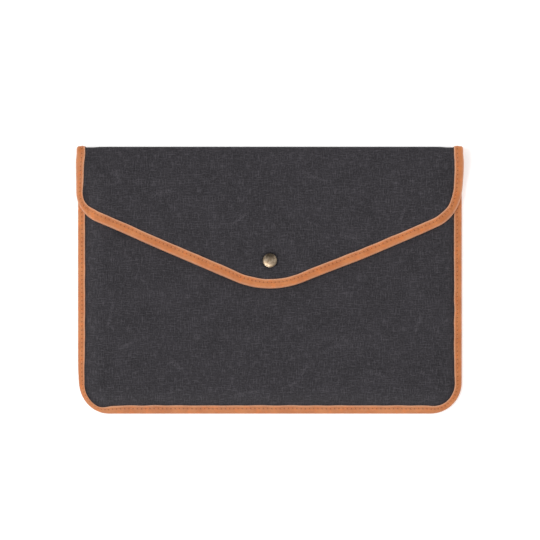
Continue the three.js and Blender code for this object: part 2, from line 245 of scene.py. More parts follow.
# ---- placing a point of a wall ----
# x is across, s is the distance past the start of the crease along the outer face (negative on
# the flat), and depth is into the wall from its outer face.
def wall_point(x, s, depth, flat_z, up, widen):
    """Points of a wall: flat up to s = 0, then a quarter turn, then upright. up is 1 for the back,
    which turns upwards, and -1 for the flap. widen brings the width to the fold's."""
    radius = CREASE_RADIUS - depth
    turn = clamp(s / QUARTER) * math.pi / 2
    past = np.maximum(0, s - QUARTER)
    centre = SPINE_MIDDLE - up * SPINE_HALF
    across = x * (1 + widen * smooth((s + 10) / 10))
    y = np.where(s <= 0, CREASE_START + s, CREASE_START + radius * np.sin(turn))
    z = np.where(s <= 0, flat_z, centre - up * radius * np.cos(turn) + up * past)
    return together(across, y, z)


def level_y(s):
    return CREASE_START + np.minimum(s, 0)


def settled_x(x, s):
    """x, with the side drawn in a little where it nears the left corner."""
    return x + LEFT_DRAWN_IN * smooth((-x - 130) / 40) * smooth((-188 - s) / 32)


def back_place(x, s, depth):
    x, y = settled_x(x, s), level_y(s)
    return wall_point(x, s, depth, back_outer(x, y) + depth, 1, BODY_WIDEN)


def body_over(x, s, lift):
    """On top of all that the body's binding holds."""
    x, y = settled_x(x, s), level_y(s)
    return wall_point(x, s, FLAP_WALL + lift, bound_top(x, y) + lift, 1, BODY_WIDEN)


def body_under(x, s, lift):
    return back_place(x, s, -lift)


def flap_hang(x, s):
    """How far the flap's points lie off their even place: its right half hangs a little lower and
    further in, and the end of its left slope a little higher."""
    free = smooth((-20 - s) / 55)
    right = smooth((x - 25) / 70)
    left = smooth((-x - 95) / 50)
    inward = RIGHT_SIDE_INWARD * smooth((x - 130) / 40) * smooth((-14 - s) / 28)
    return inward, (RIGHT_SLOPE_HANG * right + LEFT_SLOPE_HANG * left) * free


def flap_place(x, s, depth):
    inward, down = flap_hang(x, s)
    x, s = x + inward, s + down
    y = level_y(s)
    return wall_point(x, s, depth, flap_outer(x, y) - depth, -1, FLAP_WIDEN)


def flap_over(x, s, lift):
    return flap_place(x, s, -lift)


def flap_under(x, s, lift):
    return flap_place(x, s, FLAP_WALL + lift)


def front_place(x, s, depth):
    x, y = settled_x(x, s), CREASE_START + s
    return together(x, y, front_outer(x, y) - depth)


def mouth_over(x, s, lift):
    return front_place(x, s, -lift)


def mouth_under(x, s, lift):
    y = CREASE_START + s
    return together(x, y, front_inner(x, y) - lift)


# ---- relief: how the padded panels stand away from their even shape ----
WAVES = 14  # waves in an uneven relief
PUCKER_SIZE = 5
RIPPLE = 0.1
FRONT_CREASE_HEIGHT = 0.3
FLAP_CREASE_HEIGHT = 0.25
STUD_REACH = 11  # the press stud draws the flap in over this distance
STUD_DIMPLE = 0.5
BACK_HOLLOW = 0.25  # the least that the middle of the back stands off the table


def waves(x, y, size, seed):
    """A smooth, random, repeatable relief of about -1 to 1, with bumps about size across."""
    draw = np.random.RandomState(seed)
    total = np.zeros(np.broadcast(x, y).shape)
    for _ in range(WAVES):
        angle = draw.uniform(0, math.pi)
        length = size * draw.uniform(1.4, 3.2)
        phase = draw.uniform(0, 2 * math.pi)
        along = x * math.cos(angle) + y * math.sin(angle)
        total = total + np.sin(2 * math.pi * along / length + phase)
    return total / math.sqrt(WAVES)


def soft_creases(x, y, creases):
    """Strength 0 to 1 of slightly bent crease lines, each (x, y, degrees, length, bend)."""
    total = np.zeros(np.broadcast(x, y).shape)
    for centre_x, centre_y, degrees, length, bend in creases:
        angle = math.radians(degrees)
        along = (x - centre_x) * math.cos(angle) + (y - centre_y) * math.sin(angle)
        beside = (y - centre_y) * math.cos(angle) - (x - centre_x) * math.sin(angle)
        beside = beside + bend * (along * 2 / length) ** 2
        fade = smooth(1.6 * (1 - np.abs(along) * 2 / length))
        total = total + np.exp(-((beside / CREASE_WIDTH) ** 2)) * fade
    return clamp(total)


def flap_edge(x, y):
    """Distance in from the flap's edge: its sides and its V."""
    angle = math.atan(FLAP_SLOPE)
    below = (y - FLAP_APEX_Y - np.abs(x) * FLAP_SLOPE) * math.cos(angle)
    return np.minimum(FLAP_HALF - np.abs(x), below)


def puckers(x, y, edge, height, beyond, fade, seed):
    """Small gathers in the fabric, strongest a little beyond the seam."""
    near_seam = np.exp(-np.abs(edge - SEAM - beyond) / fade)
    return height * near_seam * waves(x, y, PUCKER_SIZE, seed) * clamp(edge / SEAM)


def swell(x, y, height, size, ripple_size, seed):
    """The broad unevenness of the padding, with smaller ripples on it."""
    return height * waves(x, y, size, seed) + RIPPLE * waves(x, y, ripple_size, seed + 1)


def front_relief(x, s):
    y = CREASE_START + s
    edge = np.minimum(from_edge(x, y), MOUTH_Y - y)
    inside = smooth((edge - SEAM) / 14)
    padding = swell(x, y, 0.22, 42, 15, 32)
    creased = FRONT_CREASE_HEIGHT * soft_creases(x, y, FRONT_CREASES)
    return inside * (padding + creased) + puckers(x, y, edge, 0.16, 4, 5, 31)


def flap_relief(x, s):
    y = CREASE_START + s
    edge = flap_edge(x, y)
    inside = smooth((edge - SEAM) / 12) * smooth((CREASE_START - 4 - y) / 20)
    stud = np.hypot(x, y - SNAP_Y) / STUD_REACH
    padding = swell(x, y, 0.2, 38, 13, 42) * smooth(stud)
    creased = FLAP_CREASE_HEIGHT * soft_creases(x, y, FLAP_CREASES)
    dimple = STUD_DIMPLE * np.exp(-(stud ** 2))
    fold = smooth((CREASE_START - y) / 10)
    return inside * (padding + creased) - dimple + puckers(x, y, edge, 0.14, 3, 4, 41) * fold


def back_relief(x, s):
    y = level_y(s)
    inside = smooth((from_edge(x, y) - SEAM - 4) / 25) * smooth((CREASE_START - 20 - y) / 20)
    return REST_GAP + inside * BACK_HOLLOW * (1 + clamp(waves(x, y, 40, 51)))


# ---- meshes ----
def shade(mesh, sharp):
    """Smooth shading, but for edges sharper than an angle in degrees."""
    mesh.polygons.foreach_set("use_smooth", np.ones(len(mesh.polygons), bool))
    mesh.set_sharp_from_angle(angle=math.radians(sharp))


def link(name, data):
    made = bpy.data.objects.new(name, data)
    bpy.context.scene.collection.objects.link(made)
    return made


def make_object(name, points, faces, uv=None, attributes=(), sharp=50):
    """A smooth-shaded mesh object from points in millimetres. uv is one pair per point."""
    mesh = bpy.data.meshes.new(name)
    mesh.from_pydata((np.asarray(points, float) * MM).tolist(), [], faces)
    if uv is not None:
        corners = np.zeros(len(mesh.loops), np.int32)
        mesh.loops.foreach_get("vertex_index", corners)
        layer = mesh.uv_layers.new(name="cloth")
        layer.data.foreach_set("uv", np.asarray(uv, np.float32)[corners].ravel())
    for label, values in attributes:
        attribute = mesh.attributes.new(label, "FLOAT", "POINT")
        attribute.data.foreach_set("value", np.asarray(values, np.float32).ravel())
    shade(mesh, sharp)
    mesh.update()
    return link(name, mesh)


def grid_faces(rows, columns, start=0, flip=False, closed_rows=False, closed_columns=False):
    """Quads of a rows x columns grid of points, optionally joined round in either direction."""
    index = start + np.arange(rows * columns).reshape(rows, columns)
    if closed_rows:
        index = np.vstack([index, index[:1]])
    if closed_columns:
        index = np.hstack([index, index[:, :1]])
    corners = [index[:-1, :-1], index[:-1, 1:], index[1:, 1:], index[1:, :-1]]
    quads = np.stack(corners, axis=-1).reshape(-1, 4)
    return (quads[:, ::-1] if flip else quads).tolist()


def tube_faces(rows, around):
    """Quads of a tube of points, and a face to close each of its ends."""
    first = list(range(around))
    last = [around * (rows - 1) + k for k in range(around)]
    return grid_faces(rows, around, closed_columns=True) + [first, last[::-1]]


def fix_normals(piece, join=False):
    """Turns all faces outwards, and first joins points that coincide, if asked."""
    mesh = bmesh.new()
    mesh.from_mesh(piece.data)
    if join:
        bmesh.ops.remove_doubles(mesh, verts=mesh.verts, dist=MM * MM)
    bmesh.ops.recalc_face_normals(mesh, faces=mesh.faces)
    mesh.to_mesh(piece.data)
    mesh.free()


def slab_object(name, outer, inner, uv, attributes):
    """A closed sheet between two grids of points, outer and inner."""
    rows, columns = outer.shape[:2]
    count = rows * columns
    faces = grid_faces(rows, columns) + grid_faces(rows, columns, count, True)
    index = np.arange(count).reshape(rows, columns)
    rim = np.concatenate([index[0, :-1], index[:-1, -1], index[-1, :0:-1], index[:0:-1, 0]])
    following = np.roll(rim, -1)
    sides = np.stack([rim, rim + count, following + count, following], axis=-1)
    faces += sides.tolist()
    points = np.concatenate([outer.reshape(-1, 3), inner.reshape(-1, 3)])
    uv = np.concatenate([uv.reshape(-1, 2)] * 2) * MM
    doubled = [(label, np.concatenate([values.ravel()] * 2)) for label, values in attributes]
    return make_object(name, points, faces, uv, doubled)


# ---- outlines, on the flattened wall (x, s) ----
def line_part(start, end):
    start, end = np.array(start, float), np.array(end, float)
    length = np.linalg.norm(end - start)
    along = (end - start) / length

    def at(distance):
        return start + distance[:, None] * along, np.tile(along, (len(distance), 1))

    return length, at


def arc_part(centre, radius, first, last):
    def at(distance):
        angle = first + distance / radius
        out = together(np.cos(angle), np.sin(angle))
        return np.array(centre) + radius * out, together(-np.sin(angle), np.cos(angle))

    return radius * (last - first), at


def outline_length(parts):
    return sum(length for length, _ in parts)


def trace(parts, distance):
    """Points of an outline and its inward directions, at distances along it."""
    points = np.zeros((len(distance), 2))
    along = np.zeros((len(distance), 2))
    begin = 0
    for length, at in parts:
        inside = (distance >= begin - 1e-6) & (distance <= begin + length + 1e-6)
        points[inside], along[inside] = at(distance[inside] - begin)
        begin += length
    return points, together(-along[:, 1], along[:, 0])


def inset_outline(parts, inset, steps):
    """The x and the s of points along an outline, moved inwards."""
    points, inward = trace(parts, np.linspace(0, outline_length(parts), steps))
    return (points + inward * inset).T


def body_outline():
    low = BOTTOM - CREASE_START
    left_x, left_s = LEFT_CORNER - BODY_HALF, low + LEFT_CORNER
    right_x, right_s = BODY_HALF - BODY_CORNER, low + BODY_CORNER
    return [
        line_part((-BODY_HALF, WALL_END), (-BODY_HALF, left_s)),
        arc_part((left_x, left_s), LEFT_CORNER, math.pi, 1.5 * math.pi),
        line_part((left_x, low), (right_x, low)),
        arc_part((right_x, right_s), BODY_CORNER, 1.5 * math.pi, 2 * math.pi),
        line_part((BODY_HALF, right_s), (BODY_HALF, WALL_END)),
    ]


def flap_outline():
    angle = math.atan(FLAP_SLOPE)
    normal = math.pi / 2 - angle
    corner_s = FLAP_APEX_Y + FLAP_HALF * FLAP_SLOPE - CREASE_START
    tip_s = FLAP_APEX_Y + FLAP_TIP / math.cos(angle) - CREASE_START
    left_x, left_s = LEFT_SHOULDER - FLAP_HALF, corner_s + LEFT_SHOULDER * math.tan(normal / 2)
    right_x, right_s = FLAP_HALF - RIGHT_SHOULDER, corner_s + RIGHT_SHOULDER * math.tan(normal / 2)
    turn = math.pi + normal
    rest = 2 * math.pi - normal

    def on_arc(x, s, radius, direction):
        return (x + radius * math.cos(direction), s + radius * math.sin(direction))

    return [
        line_part((-FLAP_HALF, WALL_END), (-FLAP_HALF, left_s)),
        arc_part((left_x, left_s), LEFT_SHOULDER, math.pi, turn),
        line_part(on_arc(left_x, left_s, LEFT_SHOULDER, turn), on_arc(0, tip_s, FLAP_TIP, turn)),
        arc_part((0, tip_s), FLAP_TIP, turn, rest),
        line_part(on_arc(0, tip_s, FLAP_TIP, rest),
                  on_arc(right_x, right_s, RIGHT_SHOULDER, rest)),
        arc_part((right_x, right_s), RIGHT_SHOULDER, rest, 2 * math.pi),
        line_part((FLAP_HALF, right_s), (FLAP_HALF, WALL_END)),
    ]


def mouth_outline():
    half = BODY_HALF - BINDING_WIDTH - 0.5
    s = MOUTH_Y - CREASE_START
    return [line_part((half, s), (-half, s))]


# ---- panels ----
def spread(half, step):
    """Places from -half to half, closer together near both ends."""
    fine = np.arange(0, FINE_BAND, step * 0.6)
    coarse = np.linspace(FINE_BAND, half, max(2, round((half - FINE_BAND) / step)))
    ends = half - np.concatenate([fine, coarse])
    return np.concatenate([-ends, ends[-2::-1]])


def panel_grid(parts, inset, top, step):
    """Columns and rows of (x, s) from an outline's lower edge, inset, up to a straight top."""
    outline_x, outline_s = inset_outline(parts, inset, GRID_OUTLINE_STEPS)
    columns = spread(outline_x.max() - 0.02, step)
    low = np.interp(columns, outline_x, outline_s)
    flat_top = min(top, -3)
    share = np.linspace(0, 1, round((flat_top - low.min()) / step))
    s = low + (flat_top - low) * share[:, None]
    if top > 0:
        curve = np.linspace(flat_top, top, 24)[1:]
        s = np.vstack([s, np.repeat(curve[:, None], len(columns), axis=1)])
    return np.broadcast_to(columns, s.shape).copy(), s


def add_layer(name, grid, point, low_depth, high_depth, relief, attributes):
    """One layer of a wall between two depths from the wall's outer face."""
    x, s = grid
    lift = np.zeros(x.shape + (3,))
    between_ends = smooth((FOLD_WIDTH / 2 - BINDING_WIDTH - 5 - np.abs(x)) / 8)
    lift[..., 1] = SPINE_BULGE * between_ends * smooth(s / QUARTER)
    lift[..., 2] = relief
    outer = point(x, s, low_depth) + lift
    inner = point(x, s, high_depth) + lift
    return slab_object(name, outer, inner, together(x, s), attributes)


def declare_sheet(parts, top):
    """Works out the outline of a layer of cloth on the flattened wall, inset under the binding and
    cut off at the top; nothing further is done with it.
    """
    x, s = inset_outline(parts, EDGE_COVER, OUTLINE_STEPS)
    s = np.minimum(s, top)


# ---- cloth: the outer canvas is cut a little larger than the panel that it is sewn to ----
SIM_STEP = 5.0
SIM_FRAMES = 24
SIM_RULES = (
    ("quality", 6), ("mass", 0.15), ("tension_stiffness", 18), ("compression_stiffness", 18),
    ("shear_stiffness", 8), ("bending_stiffness", 0.6), ("vertex_group_mass", "held"),
    ("shrink_min", -0.002),  # the cloth is cut larger by this share
    ("use_pressure", True), ("uniform_pressure_force", 0.05),
)
SIM_UNEVEN = 0.3  # the unevenness that the folds start from
SIM_SOFTNESS = 1.6  # a fold this high is drawn at three quarters of its cap
SIM_RISE = 0.5  # the most that a fold may stand up
SIM_SINK = 0.28  # the most that the foam lets a fold sink


def hold(x, s):
    """Points that the seams and the press stud hold still."""
    held = np.zeros(x.shape, bool)
    held[0] = held[-1] = held[:, 0] = held[:, -1] = True
    return held | (np.hypot(x, CREASE_START + s - SNAP_Y) < CAP_RADIUS)


def settled(name, points, held):
    """Points of a sheet after a short cloth simulation, with its held points fixed."""
    rows, columns = held.shape
    sheet = make_object(name, points.reshape(-1, 3), grid_faces(rows, columns))
    group = sheet.vertex_groups.new(name="held")
    group.add(np.flatnonzero(held).tolist(), 1.0, "REPLACE")
    cloth = sheet.modifiers.new("Cloth", "CLOTH")
    cloth.point_cache.frame_start = 1
    cloth.point_cache.frame_end = SIM_FRAMES
    for rule, value in SIM_RULES:
        setattr(cloth.settings, rule, value)
    cloth.settings.effector_weights.gravity = 0
    scene = bpy.context.scene
    for step in range(1, SIM_FRAMES + 1):
        scene.frame_set(step)
    result = sheet.evaluated_get(bpy.context.evaluated_depsgraph_get()).to_mesh()
    moved = np.zeros(len(result.vertices) * 3, np.float32)
    result.vertices.foreach_get("co", moved)
    mesh = sheet.data
    bpy.data.objects.remove(sheet)
    bpy.data.meshes.remove(mesh)
    scene.frame_set(1)
    return moved.reshape(points.shape) / MM


class ClothRelief:
    """How far a panel's cloth stands off its even shape, from a simulation on a coarse grid."""

    def __init__(self, name, parts, top, point, seed):
        self.x, self.s = panel_grid(parts, SEAM - 2, top, SIM_STEP)
        self.height = np.zeros(self.x.shape)
        even = point(self.x, self.s, 0)
        start = even.copy()
        held = hold(self.x, self.s)
        start[..., 2] += np.where(held, 0, SIM_UNEVEN * waves(self.x, self.s, 16, seed))
        rise = (settled(name, start, held) - even)[..., 2]
        cap = np.where(rise > 0, SIM_RISE, SIM_SINK)
        self.height = cap * np.tanh(rise / SIM_SOFTNESS)

    def at(self, x, s):
        rows, columns = self.height.shape
        low = np.interp(x, self.x[0], self.s[0])
        column = np.interp(x, self.x[0], np.arange(columns))
        row = clamp((s - low) / (self.s[-1, 0] - low)) * (rows - 1)
        left = np.minimum(column.astype(int), columns - 2)
        under = np.minimum(row.astype(int), rows - 2)
        lower, upper = [mix(self.height[at, left], self.height[at, left + 1], column - left)
                        for at in (under, under + 1)]
        return mix(lower, upper, row - under)


# ---- bindings ----
# The leather strip's outer face, from its raw edge outwards: distance from the raw edge and
# height over the fabric. The stitches lie in the groove.
STRIP_FACE = (
    # The first two rows make a thin lip below the raw edge, coloured dark brown: partly the
    # leather's dyed cut edge, partly painted shade along the strip's edge.
    (-0.5, 0.1), (-0.25, 0.35), (0.0, 0.8), (0.3, 1.07), (0.9, 1.2), (1.6, 1.22),
    (2.15, 1.2), (2.5, 1.13), (2.75, 1.1), (3.0, 1.13), (3.35, 1.2), (3.9, 1.24),
)
STRIP_INSIDE = 0.06  # height of the strip's inside over the fabric
ROUND_EDGE = 2.2  # the strip rolls over the edge within this inset
ROUND_LIFT = 1.1
ROUND_STEPS = 10
NARROW = 4.2  # where less than this shows past the rolled edge, the face is squeezed
WAVER = 0.14  # how unevenly the strip is cut
STITCH_PITCH = 3.75
STITCH_LENGTH = 3.1
STITCH_LIFT = 1.1
STITCH_FROM_RAW = 2.75
STATIONS_PER_STITCH = 4
HOLE_DEPTH = 0.24
THREAD_RADIUS = 0.3
THREAD_SIDES = 6
STITCH_PROFILE = (  # share of a stitch's length, height over the groove, share of the radius
    (-0.5, -0.35, 0.3), (-0.42, -0.12, 0.75), (-0.25, 0.1, 1.0), (0, 0.18, 1.05),
    (0.25, 0.1, 1.0), (0.42, -0.12, 0.75), (0.5, -0.35, 0.3),
)


def strip_squeeze(width):
    """Share by which the strip's face narrows where little of it shows, as round a corner."""
    return np.minimum(1, (width - ROUND_EDGE) / NARROW)


def shown_width(width_at, points, distance, seed):
    waver = WAVER * waves(distance, 0 * distance, 9, seed)
    return width_at(*points.T) + waver


def near_stitch(from_raw, reach):
    return np.exp(-((from_raw - STITCH_FROM_RAW) / reach) ** 2)


def strip_section(width, hole):
    """Rows of (inset, lift, share of top) round the folded strip, for every station: the outer
    face over the top, round the edge and under, and back along the inside."""
    face = []
    squeeze = strip_squeeze(width)
    for from_raw, lift in STRIP_FACE:
        depth = HOLE_DEPTH * near_stitch(from_raw, 0.45)
        face.append((width - from_raw * squeeze, lift - depth * hole))
    end_from_raw, end_lift = STRIP_FACE[-1]
    last = width - end_from_raw * squeeze
    for share in (0.35, 0.7):
        face.append((mix(last, ROUND_EDGE, share), mix(end_lift, ROUND_LIFT, share)))
    section = [(inset, lift, 1.0) for inset, lift in face]
    for step in range(ROUND_STEPS + 1):
        angle = math.pi / 2 - math.pi * step / ROUND_STEPS
        section.append((ROUND_EDGE * (1 - math.cos(angle)), ROUND_LIFT, (1 + math.sin(angle)) / 2))
    section += [(inset, lift, 0.0) for inset, lift in reversed(face)]
    inside = [width + 0.45, mix(width, 1.4, 0.5), 1.4]
    section += [(inset, STRIP_INSIDE, 0.0) for inset in inside]
    section += [(inset, STRIP_INSIDE, 1.0) for inset in reversed(inside)]
    return section


def add_strip(name, parts, over, under, width_at, seed, rolled_wear, rests_on):
    """A leather strip folded round an outline, with its groove for the stitches. rolled_wear is
    how pale its rolled edge has become."""
    length = outline_length(parts)
    stitches = round(length / STITCH_PITCH)
    distance = np.linspace(0, length, STATIONS_PER_STITCH * stitches + 1)
    points, inward = trace(parts, distance)
    hole = np.where(np.arange(len(distance)) % STATIONS_PER_STITCH == 0, 1.0, 0.0)
    width = shown_width(width_at, points, distance, seed)
    rings, insets = [], []
    for inset, lift, share in strip_section(width, hole):
        inset = inset + 0 * distance
        spot = points + inward * inset[:, None]
        top = over(*spot.T, lift)
        bottom = under(*spot.T, lift)
        rings.append(mix(bottom, top, share))
        insets.append(inset)
    rings = np.stack(rings, axis=1)
    insets = np.stack(insets, axis=1)
    steps = np.linalg.norm(np.diff(rings, axis=1, prepend=rings[:, :1]), axis=2)
    across = np.cumsum(steps, axis=1)
    uv = together(distance[:, None], across) * MM
    from_raw = (width[:, None] - insets) / strip_squeeze(width)[:, None]
    attributes = [
        ("worn", np.maximum(smooth(1.25 - from_raw), rolled_wear * smooth(1.3 - insets / 1.5))),
        # dark brown on the lip below the raw edge: the dyed cut edge, and painted shade along the
        # strip's edge
        ("dyed_edge_and_shade", clamp(-from_raw / 0.25)),
        # painted shade: the leather is coloured a little darker along the stitch groove
        ("painted_groove_shade", near_stitch(from_raw, 0.55)),
        # painted shade: dark dots where the stitch holes are
        ("painted_hole_shade", hole[:, None] * near_stitch(from_raw, 0.6)),
    ]
    faces = tube_faces(*rings.shape[:2])
    strip = make_object(name, rings.reshape(-1, 3), faces, uv.reshape(-1, 2), attributes, 70)
    fix_normals(strip)
    return strip


def stitch_rings(parts, over, width_at, seed, slant, centres):
    """Points of a row of stitches on one face of a strip: for every stitch, rings of thread."""
    rings = []
    for share, height, radius_share in STITCH_PROFILE:
        distance = centres + share * STITCH_LENGTH
        points, inward = trace(parts, distance)
        width = shown_width(width_at, points, distance, seed)
        from_raw = STITCH_FROM_RAW * strip_squeeze(width)
        spot = points + inward * (width - from_raw + slant * share * 4)[:, None]
        beyond = spot + inward * 0.1
        lift = STITCH_LIFT + height
        centre = over(*spot.T, lift)
        up = unit(over(*spot.T, lift + 0.1) - centre)
        side = unit(over(*beyond.T, lift) - centre)
        radius = THREAD_RADIUS * radius_share
        for k in range(THREAD_SIDES):
            angle = 2 * math.pi * k / THREAD_SIDES
            rings.append(centre + radius * (up * math.cos(angle) + side * math.sin(angle)))
    block = np.stack(rings, axis=1)
    block[..., 2] = np.maximum(block[..., 2], REST_GAP)
    return block


def add_stitches(name, parts, faces_of_strip, width_at, seed):
    """Thread in the groove of a strip, on each of its faces: a row of short raised stitches."""
    length = outline_length(parts)
    count = round(length / STITCH_PITCH)
    centres = (np.arange(count) + 0.5) * length / count
    slant = np.random.RandomState(seed).uniform(-0.05, 0.05, count)
    blocks = [stitch_rings(parts, over, width_at, seed, slant, centres) for over in faces_of_strip]
    points = np.concatenate(blocks).reshape(-1, 3)
    rows = len(STITCH_PROFILE)
    pattern = tube_faces(rows, THREAD_SIDES)
    faces = []
    for start in range(0, len(points), rows * THREAD_SIDES):
        faces += [[start + corner for corner in face] for face in pattern]
    along = np.repeat([share for share, _, _ in STITCH_PROFILE], THREAD_SIDES) * STITCH_LENGTH
    turns = np.arange(THREAD_SIDES) / THREAD_SIDES * 2 * math.pi * THREAD_RADIUS
    uv = np.tile(together(along, np.tile(turns, rows)) * MM, (count * len(blocks), 1))
    made = make_object(name, points, faces, uv, (), 80)
    fix_normals(made)
    return made


# ---- the press stud's cap ----
CAP_SUNK = 0.25  # the cap's skirt is pressed this far into the canvas
RIM_ROUND = 0.55
DOME_HEIGHT = 1.75


def add_turned(name, profile, segments=96):
    """A closed piece turned on the press stud's axis, from (radius, height) pairs."""
    profile = np.array(profile, float)
    angle = np.arange(segments) / segments * 2 * math.pi
    radius, height = profile[:, 0][:, None], profile[:, 1][:, None]
    points = together(radius * np.cos(angle), SNAP_Y + radius * np.sin(angle), height)
    faces = grid_faces(len(profile), segments, closed_rows=True, closed_columns=True)
    made = make_object(name, points.reshape(-1, 3), faces)
    fix_normals(made, join=True)
    shade(made.data, 35)
    return made


# ---- materials ----
class Nodes:
    """A node tree, with short calls for the nodes that the finishes and the room share."""

    def __init__(self, owner):
        owner.use_nodes = True
        self.tree = owner.node_tree
        self.tree.nodes.clear()

    def add(self, kind, values=(), **settings):
        made = self.tree.nodes.new(kind)
        for key, value in settings.items():
            setattr(made, key, value)
        for key, value in dict(values).items():
            self.feed(made.inputs[key], value)
        return made

    def feed(self, socket, value):
        if isinstance(value, bpy.types.NodeSocket):
            self.tree.links.new(value, socket)
        else:
            socket.default_value = value

    def math(self, operation, a, b=0.0, c=0.0, limit=False):
        return self.add("ShaderNodeMath", {0: a, 1: b, 2: c}, operation=operation,
                        use_clamp=limit).outputs[0]

    def times(self, a, b):
        return self.math("MULTIPLY", a, b)

    def vector(self, operation, values):
        return self.add("ShaderNodeVectorMath", values, operation=operation)

    def in_mm(self, place):
        return self.vector("SCALE", {0: place, "Scale": 1 / MM}).outputs[0]

    def cloth(self):
        """The cloth's own coordinates, in millimetres."""
        return self.in_mm(self.add("ShaderNodeUVMap", uv_map="cloth").outputs[0])

    def solid(self):
        """The object's coordinates, in millimetres."""
        return self.in_mm(self.add("ShaderNodeTexCoord").outputs["Object"])

    def stretched(self, vector, scale):
        return self.vector("MULTIPLY", {0: vector, 1: scale}).outputs[0]

    def noise(self, vector, scale, detail=3.0, roughness=0.55):
        return self.add("ShaderNodeTexNoise", {
            "Vector": vector, "Scale": scale, "Detail": detail,
            "Roughness": roughness}).outputs["Fac"]

    def span(self, value, low, high, to_low=0.0, to_high=1.0, soft=True):
        return self.add("ShaderNodeMapRange", {
            "Value": value, "From Min": low, "From Max": high, "To Min": to_low,
            "To Max": to_high}, interpolation_type="SMOOTHSTEP" if soft else "LINEAR").outputs[0]

    def blend(self, share, a, b):
        made = self.add("ShaderNodeMix", data_type="RGBA")
        self.feed(made.inputs[0], share)
        self.feed(made.inputs[6], a)
        self.feed(made.inputs[7], b)
        return made.outputs[2]

    def attribute(self, name):
        return self.add("ShaderNodeAttribute", attribute_name=name).outputs["Fac"]

    def bump(self, height, depth_mm, below=None):
        values = {"Height": height, "Strength": 1.0, "Distance": depth_mm * MM}
        if below is not None:
            values["Normal"] = below
        return self.add("ShaderNodeBump", values).outputs[0]


class Graph(Nodes):
    """A material's node tree, round one shader."""

    def __init__(self, name):
        self.material = bpy.data.materials.new(name)
        super().__init__(self.material)
        self.shader = self.add("ShaderNodeBsdfPrincipled")
        self.add("ShaderNodeOutputMaterial", {0: self.shader.outputs[0]})

    def finish(self, **values):
        for key, value in values.items():
            self.feed(self.shader.inputs[key.replace("_", " ")], value)
        return self.material


def srgb(red, green, blue):
    """Linear colour from 0-255 display values."""
    def linear(value):
        share = value / 255
        return share / 12.92 if share <= 0.04045 else ((share + 0.055) / 1.055) ** 2.4
    return (linear(red), linear(green), linear(blue), 1.0)


WEAVE_PITCH = 0.55


def weave(graph, cloth):
    """Plain weave: height of the threads, and 1 where the warp lies on top."""
    split = graph.add("ShaderNodeSeparateXYZ", {0: cloth})
    threads = [graph.math("SINE", graph.times(split.outputs[axis], math.pi / WEAVE_PITCH))
               for axis in (0, 1)]
    cell = graph.times(*threads)
    height = graph.math("POWER", graph.math("ABSOLUTE", cell), 0.6)
    return height, graph.span(cell, -0.15, 0.15)


def canvas_material():
    graph = Graph("canvas")
    cloth = graph.cloth()
    height, warp = weave(graph, cloth)
    across = graph.noise(graph.stretched(cloth, (0.13, 1.15, 1)), 1, 1.0)
    along = graph.noise(graph.stretched(cloth, (1.15, 0.13, 1)), 1, 1.0)
    slub_across = graph.span(across, 0.5, 0.75)
    slub_along = graph.span(along, 0.5, 0.75)
    mottle = graph.noise(cloth, 0.05, 4.0, 0.6)
    speckle = graph.noise(cloth, 0.75, 2.0, 0.75)
    crease = graph.attribute("crease")
    worn_crease = graph.times(crease, graph.span(speckle, 0.3, 0.6))
    tone = graph.math("MULTIPLY_ADD", mottle, 0.36, -0.34)
    for part, weight in ((speckle, 0.85), (slub_across, 0.3), (slub_along, 0.3), (warp, 0.08),
                         (worn_crease, 0.34), (height, 0.12)):
        tone = graph.math("MULTIPLY_ADD", part, weight, tone)
    # painted shade: the canvas is darkened in a ring round the snap's cap, standing for the shadow
    # there
    tone = graph.math("MULTIPLY_ADD", graph.attribute("painted_cap_shade"), -0.34, tone, limit=True)
    threads = graph.bump(height, 0.09)
    slubs = graph.bump(graph.math("ADD", slub_across, slub_along), 0.08, threads)
    rumple = graph.bump(graph.noise(cloth, 0.35, 3.0, 0.6), 0.22, slubs)
    color = graph.blend(tone, srgb(15, 14, 16), srgb(84, 81, 86))
    return graph.finish(Base_Color=color, Normal=rumple,
                        Roughness=graph.span(mottle, 0.3, 0.7, 0.82, 0.94),
                        Specular_IOR_Level=0.1, Sheen_Weight=0.02, Sheen_Roughness=0.6)


def lining_material():
    graph = Graph("lining")
    cloth = graph.cloth()
    nap = graph.noise(graph.stretched(cloth, (0.9, 0.35, 1)), 2.2, 4.0, 0.7)
    brushed = graph.noise(graph.stretched(cloth, (0.3, 0.06, 1)), 1.0, 3.0, 0.65)
    mottle = graph.span(graph.noise(cloth, 0.05, 3.0), 0.3, 0.7, 0.0, 0.4)
    tone = graph.math("MULTIPLY_ADD", nap, 0.35, mottle)
    tone = graph.math("MULTIPLY_ADD", graph.span(brushed, 0.35, 0.65), 0.15, tone, limit=True)
    color = graph.blend(tone, srgb(70, 67, 66), srgb(146, 142, 138))
    return graph.finish(Base_Color=color, Roughness=0.95, Sheen_Weight=0.35,
                        Sheen_Roughness=0.4, Specular_IOR_Level=0.15,
                        Normal=graph.bump(nap, 0.25))


def foam_material():
    graph = Graph("foam")
    place = graph.solid()
    cells = graph.add("ShaderNodeTexVoronoi", {"Vector": place, "Scale": 1.6}).outputs[0]
    grain = graph.noise(place, 0.4, 3.0)
    color = graph.blend(grain, srgb(176, 173, 165), srgb(202, 199, 190))
    return graph.finish(Base_Color=color, Roughness=0.95, Specular_IOR_Level=0.1,
                        Normal=graph.bump(cells, 0.25))


